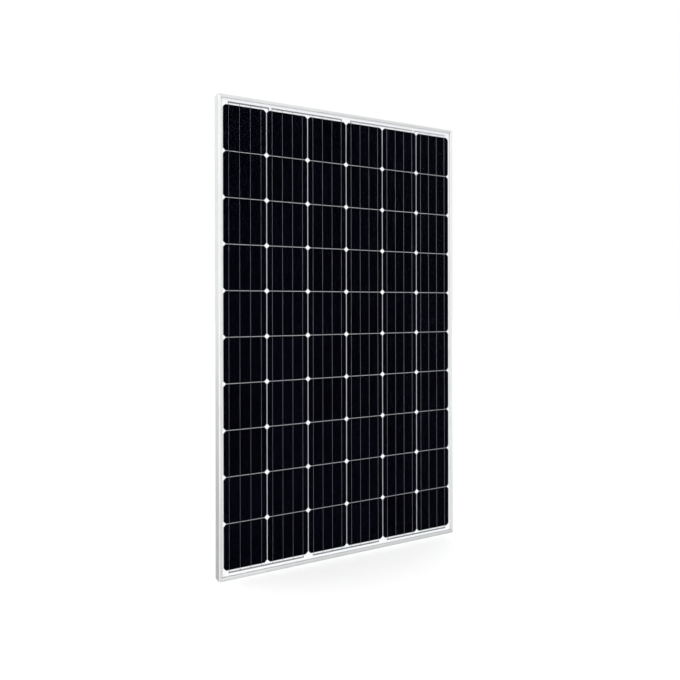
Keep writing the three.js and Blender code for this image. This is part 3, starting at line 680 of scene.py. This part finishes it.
def relief_layers():
    """What lifts the backsheet from inside: each thing's height, and its bands along X and along Z."""
    half = CELL / 2 - CELL_INSET
    cell_columns = [raised(column_x(column) - half, column_x(column) + half) for column in range(COLUMNS)]
    cell_rows = [raised(row_z(row) - half, row_z(row) + half) for row in range(ROWS)]
    busbars = [busbar_x(column, busbar) for column in range(COLUMNS) for busbar in range(BUSBARS)]
    ribbon_columns = [raised(x - RIBBON_WIDTH / 2, x + RIBBON_WIDTH / 2) for x in busbars]
    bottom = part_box("bus_ribbon_bottom_1")
    top_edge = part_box("bus_ribbon_top_1")[1].z
    strip_low, strip_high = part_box("insulation_strip")
    bus_rows = [raised(bottom[0].z, bottom[1].z), raised(top_edge - BUS_WIDTH, top_edge)]
    return [
        (CELL_RELIEF, cell_columns, cell_rows),
        (RIBBON_RELIEF, ribbon_columns, [raised(bottom[1].z, top_edge - BUS_WIDTH)]),
        (RIBBON_RELIEF, [raised(busbars[0], busbars[-1])], bus_rows),
        (STRIP_RELIEF, [raised(strip_low.x, strip_high.x)], [raised(strip_low.z, strip_high.z)]),
    ]


def grid_lines(low, high, layers_bands, slits):
    """Every place along one axis where the sheet's surface changes slope or a slit starts or ends."""
    stretches = [band for bands in layers_bands for band in bands] + slits
    lines = {round(value, GRID_DIGITS) for stretch in stretches for value in stretch}
    return sorted(value for value in lines | {low, high} if low <= value <= high)


def build_backsheet(shape):
    """The rear film, flat in front, with what lies under it showing at its back as a slight relief."""
    layers = relief_layers()
    base = FILM_HIGH.y - sum(height for height, _, _ in layers)
    slit_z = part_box("bus_ribbon_top_2")[0].z
    leads = [sum(corner.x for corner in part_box(f"terminal_{lead + 1}")) / 2 for lead in range(LEADS)]
    slits_x = [(x - LEAD_SLIT[0] / 2, x + LEAD_SLIT[0] / 2) for x in leads]
    slits_z = [(slit_z - LEAD_SLIT[1] / 2, slit_z + LEAD_SLIT[1] / 2)]
    xs = grid_lines(FILM_LOW.x, FILM_HIGH.x, [bands for _, bands, _ in layers], slits_x)
    zs = grid_lines(FILM_LOW.z, FILM_HIGH.z, [bands for _, _, bands in layers], slits_z)
    shares_x = [[band_height(x, bands) for _, bands, _ in layers] for x in xs]
    shares_z = [[band_height(z, bands) for _, _, bands in layers] for z in zs]
    corners = {}

    def corner(i, j, rear):
        if (i, j, rear) not in corners:
            lift = sum(layer[0] * a * b for layer, a, b in zip(layers, shares_x[i], shares_z[j]))
            y = base + lift if rear else FILM_LOW.y
            corners[i, j, rear] = shape.verts.new((xs[i], y, zs[j]))
        return corners[i, j, rear]

    def solid(i, j):
        if not (0 <= i < len(xs) - 1 and 0 <= j < len(zs) - 1):
            return False
        x, z = (xs[i] + xs[i + 1]) / 2, (zs[j] + zs[j + 1]) / 2
        in_slit = any(a < x < b for a, b in slits_x) and any(a < z < b for a, b in slits_z)
        return not in_slit

    for i in range(len(xs) - 1):
        for j in range(len(zs) - 1):
            if not solid(i, j):
                continue
            loop = [(i, j), (i + 1, j), (i + 1, j + 1), (i, j + 1)]
            for rear in (False, True):
                shape.faces.new([corner(*spot, rear) for spot in loop])
            for step, neighbour in enumerate(((i, j - 1), (i + 1, j), (i, j + 1), (i - 1, j))):
                if not solid(*neighbour):
                    start, end = loop[step], loop[(step + 1) % 4]
                    front = [corner(*spot, False) for spot in (start, end)]
                    back = [corner(*spot, True) for spot in (end, start)]
                    shape.faces.new(front + back)


FOOT_CORNER = 6 * MM
FOOT_MARGIN = 1 * MM
FOOT_ARC_STEPS = 6
BEAD_STEP = 5 * MM
# The bead's swelling along its run, as the height of each wave and its rate per step.
BEAD_WAVES = ((0.1, 0.9), (0.06, 2.3))
# The bead's section in millimetres, out from the foot and up from the film.
BEAD_SECTION = (
    (-0.6, -0.2), (2.6, -0.2), (2.35, 0.55), (1.6, 1.2), (0.6, 1.6), (0.05, 1.7), (0.05, 0.9), (-0.6, 0.9),
)


def rounded_loop(half_x, middle_z, half_z, radius):
    """Points round a rounded rectangle about X = 0, each with the way out from it."""
    loop = []
    for corner in range(4):
        side_x, side_z = ((1, 1), (-1, 1), (-1, -1), (1, -1))[corner]
        for step in range(FOOT_ARC_STEPS + 1):
            angle = (corner + step / FOOT_ARC_STEPS) * math.pi / 2
            out = Vector((math.cos(angle), math.sin(angle)))
            middle = Vector((side_x * (half_x - radius), middle_z + side_z * (half_z - radius)))
            loop.append((middle + radius * out, out))
        span = 2 * ((half_x if corner % 2 == 0 else half_z) - radius)
        along = Vector((-out.y, out.x))
        count = round(span / BEAD_STEP)
        for step in range(1, count):
            loop.append((middle + radius * out + along * span * step / count, out))
    return loop


def build_adhesive(shape):
    """The foam pad behind the junction box, with the bead of sealant laid round the box's foot."""
    shape.from_mesh(NODES["junction_box_pad"].data)
    bmesh.ops.remove_doubles(shape, verts=shape.verts, dist=MERGE_DISTANCE)
    low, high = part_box("junction_box_pad")
    half_z = (high.z - low.z) / 2 + FOOT_MARGIN
    loop = rounded_loop(high.x + FOOT_MARGIN, (low.z + high.z) / 2, half_z, FOOT_CORNER)
    rings = []
    for index, (spot, out) in enumerate(loop):
        swell = 1 + sum(size * math.sin(rate * index) for size, rate in BEAD_WAVES)
        ring = []
        for across, up in BEAD_SECTION:
            point = spot + out * across * swell * MM
            ring.append(shape.verts.new((point.x, FILM_HIGH.y + up * swell * MM, point.y)))
        rings.append(ring)
    count = len(BEAD_SECTION)
    for index, ring in enumerate(rings):
        following = rings[(index + 1) % len(rings)]
        for i in range(count):
            j = (i + 1) % count
            shape.faces.new((ring[i], ring[j], following[j], following[i]))


# ---- Softened copies of the hard parts ----------------------------------------------------------

FLAT_ANGLE = math.radians(1)
SHARP_ANGLE = math.radians(30)
ROUNDING_SEGMENTS = 2


def soften(node, material, edge):
    """Stands for a CAD node with the same shape, its flat faces joined up and its sharp edges rounded."""
    mesh = NODES[node].data.copy()
    shape = bmesh.new()
    shape.from_mesh(mesh)
    bmesh.ops.remove_doubles(shape, verts=shape.verts, dist=MERGE_DISTANCE)
    bmesh.ops.dissolve_limit(
        shape, angle_limit=FLAT_ANGLE, verts=shape.verts, edges=shape.edges, delimit={"NORMAL"},
    )
    shape.to_mesh(mesh)
    shape.free()
    body = NODES[node].parent.name.split(":")[1]
    piece = link(f"{node}_finished", mesh, material, body, [node])
    bevel = piece.modifiers.new("rounded_edges", "BEVEL")
    bevel.width = edge
    bevel.segments = ROUNDING_SEGMENTS
    bevel.limit_method = "ANGLE"
    bevel.angle_limit = SHARP_ANGLE
    bevel.use_clamp_overlap = True
    bevel.harden_normals = False
    for polygon in mesh.polygons:
        polygon.use_smooth = True
    weighted = piece.modifiers.new("flat_faces", "WEIGHTED_NORMAL")
    weighted.keep_sharp = True


# ---- World and floor --------------------------------------------------------------------------

# The room's light has a strength from below and one from the horizon up, and both differ behind the
# panel and in front of it. They blend over FRONT_SPREAD along FRONT_WAY, and the whole falls to
# RIGHT_SHARE over RIGHT_SPREAD along RIGHT_WAY. FLOOR_DARKEST_AT is how far down it stops falling.
FRONT_WAY = (-0.35, -0.92, 0.15)
RIGHT_WAY = (0.862, -0.507, 0.0)
FRONT_LIGHT = (0.4, 1.0)
BACK_LIGHT = (0.25, 0.97)
FRONT_SPREAD = (-0.4, 0.9)
RIGHT_SPREAD = (0.7, 1.0)
RIGHT_SHARE = 0.75
FLOOR_DARKEST_AT = -0.3


def make_world():
    """White to the camera, and to everything else a soft room that is dim to the right and below."""
    world = bpy.data.worlds.new("studio")
    bpy.context.scene.world = world
    world.use_nodes = True
    tree = world.node_tree
    tree.nodes.clear()
    way = add(tree, "TexCoord").outputs["Generated"]
    height = add(tree, "SeparateXYZ", {0: way}).outputs[2]
    front, right = (
        add(tree, "VectorMath", {0: way, 1: axis}, operation="DOT_PRODUCT").outputs["Value"]
        for axis in (FRONT_WAY, RIGHT_WAY)
    )
    profiles = [
        map_range(tree, height, FLOOR_DARKEST_AT, 0.0, low, high, smooth=True)
        for low, high in (BACK_LIGHT, FRONT_LIGHT)
    ]
    share = map_range(tree, front, *FRONT_SPREAD, 0, 1, smooth=True)
    strength = add(tree, "Mix", {0: share, 2: profiles[0], 3: profiles[1]}).outputs[0]
    dim = map_range(tree, right, *RIGHT_SPREAD, 1, RIGHT_SHARE, smooth=True)
    strength = math_node(tree, "MULTIPLY", strength, dim)
    room = add(tree, "Background", {"Color": (1, 1, 1, 1), "Strength": strength})
    white = add(tree, "Background", {"Color": (1, 1, 1, 1), "Strength": 1.0})
    seen = add(tree, "LightPath").outputs["Is Camera Ray"]
    mix = add(tree, "MixShader", {0: seen, 1: room.outputs[0], 2: white.outputs[0]})
    output = add(tree, "OutputWorld")
    tree.links.new(mix.outputs[0], output.inputs["Surface"])


FLOOR_REACH = 30.0
FLOOR_GAP = 0.5 * MM


def make_floor():
    def build(shape):
        ring = [(-1, -1), (1, -1), (1, 1), (-1, 1)]
        shape.faces.new([shape.verts.new((x * FLOOR_REACH, y * FLOOR_REACH, 0)) for x, y in ring])

    mesh = mesh_from(build, "floor")
    mesh.materials.append(pale_floor())
    floor = bpy.data.objects.new("floor", mesh)
    floor.location.z = CAD_BOUNDS[0][2] - FLOOR_GAP
    bpy.context.scene.collection.objects.link(floor)
    for ray in ("diffuse", "glossy", "transmission", "shadow"):
        setattr(floor, f"visible_{ray}", False)


# ---- Scene ------------------------------------------------------------------------------------

TRANSPARENT_BOUNCES = 24

make_camera()
make_world()
add_sun("key", *KEY_SUN)
add_sun("top", *TOP_SUN)
make_floor()
bpy.context.scene.view_settings.view_transform = "Standard"
bpy.context.scene.cycles.transparent_max_bounces = TRANSPARENT_BOUNCES

# Finishes, each with the two tones that it varies between.
# Painted shade: the level rails, at the top and bottom, get darker tones than the upright side rails.
level = anodised_aluminium("anodised_level", ACROSS, (0.66, 0.67, 0.675), (0.75, 0.755, 0.755))
upright = anodised_aluminium("anodised_upright", UP, (0.79, 0.8, 0.805), (0.89, 0.895, 0.895))
tin = tinned_copper("tinned_copper", ACROSS, (0.36, 0.36, 0.37), (0.46, 0.46, 0.47))
# The last pair of numbers for these ribbons is painted sheen, lighter towards the right.
dull_tin = tinned_copper("dull_tinned_copper", ACROSS, (0.2, 0.2, 0.21), (0.28, 0.28, 0.29), (0.8, 2.4))
cell_ribbon = tinned_copper("cell_ribbon", UP, (0.2, 0.2, 0.222), (0.27, 0.27, 0.295), (0.56, 1.2))
tape = foam("edge_foam", (0.72, 0.72, 0.7), (0.82, 0.82, 0.8))
rubber = foam("black_rubber", (0.015, 0.015, 0.015), (0.026, 0.026, 0.026))
film = white_backsheet()
plastic = moulded_plastic("black_plastic", (0.026, 0.026, 0.028), (0.04, 0.04, 0.042))
epoxy = moulded_plastic("diode_body", (0.01, 0.01, 0.011), (0.016, 0.016, 0.018), rough=(0.2, 0.35))
steel = stamped_metal("steel_pin", (0.5, 0.5, 0.5), (0.62, 0.62, 0.62))
brass = stamped_metal("brass", (0.55, 0.43, 0.2), (0.66, 0.55, 0.32))

# Each record slot's material, and how far its sharp edges are rounded in millimetres.
FINISHES = {
    "anodised_aluminium": (level, 0.25),
    "cast_aluminium": (cast_aluminium(), 0.3),
    "edge_foam": (tape, 0.12),
    "solar_glass": (solar_glass(), 0.2),
    "encapsulant": (encapsulant(), 0.08),
    "tinned_copper": (tin, 0.05),
    "white_film": (film, 0.02),
    "black_plastic": (plastic, 0.3),
    "black_rubber": (rubber, 0.2),
    "steel_pin": (steel, 0.4),
    "brass": (brass, 0.15),
    "diode_body": (epoxy, 0.1),
}
# The lid's hinge knuckles have small facets, which leave room for only a narrow rounding.
LID_EDGE = 0.14
REBUILT = {"backsheet", "junction_box_pad"} | {f"cell_string_{column + 1}" for column in range(COLUMNS)}

for node in sorted(set(NODES) - REBUILT):
    material, edge = FINISHES[SLOTS[node]]
    # The side rails keep the lighter tones, and the level ones carry the painted shade.
    if node in ("frame_rail_left", "frame_rail_right"):
        material = upright
    if node.startswith("bus_ribbon_top"):
        material = dull_tin
    if node == "junction_box_lid":
        edge = LID_EDGE
    soften(node, material, edge * MM)

make_strings(silicon_cell(), cell_ribbon)
for end, metal in (("top", dull_tin), ("bottom", cell_ribbon)):
    joints = mesh_from(lambda shape: build_solder(shape, end), f"solder_joints_{end}")
    link(f"solder_joints_{end}", joints, metal, "panel")
sheet = mesh_from(build_backsheet, "backsheet_film")
link("backsheet_film", sheet, film, "panel", ["backsheet"])
adhesive = mesh_from(build_adhesive, "box_adhesive")
link("box_adhesive", adhesive, tape, "panel", ["junction_box_pad"])
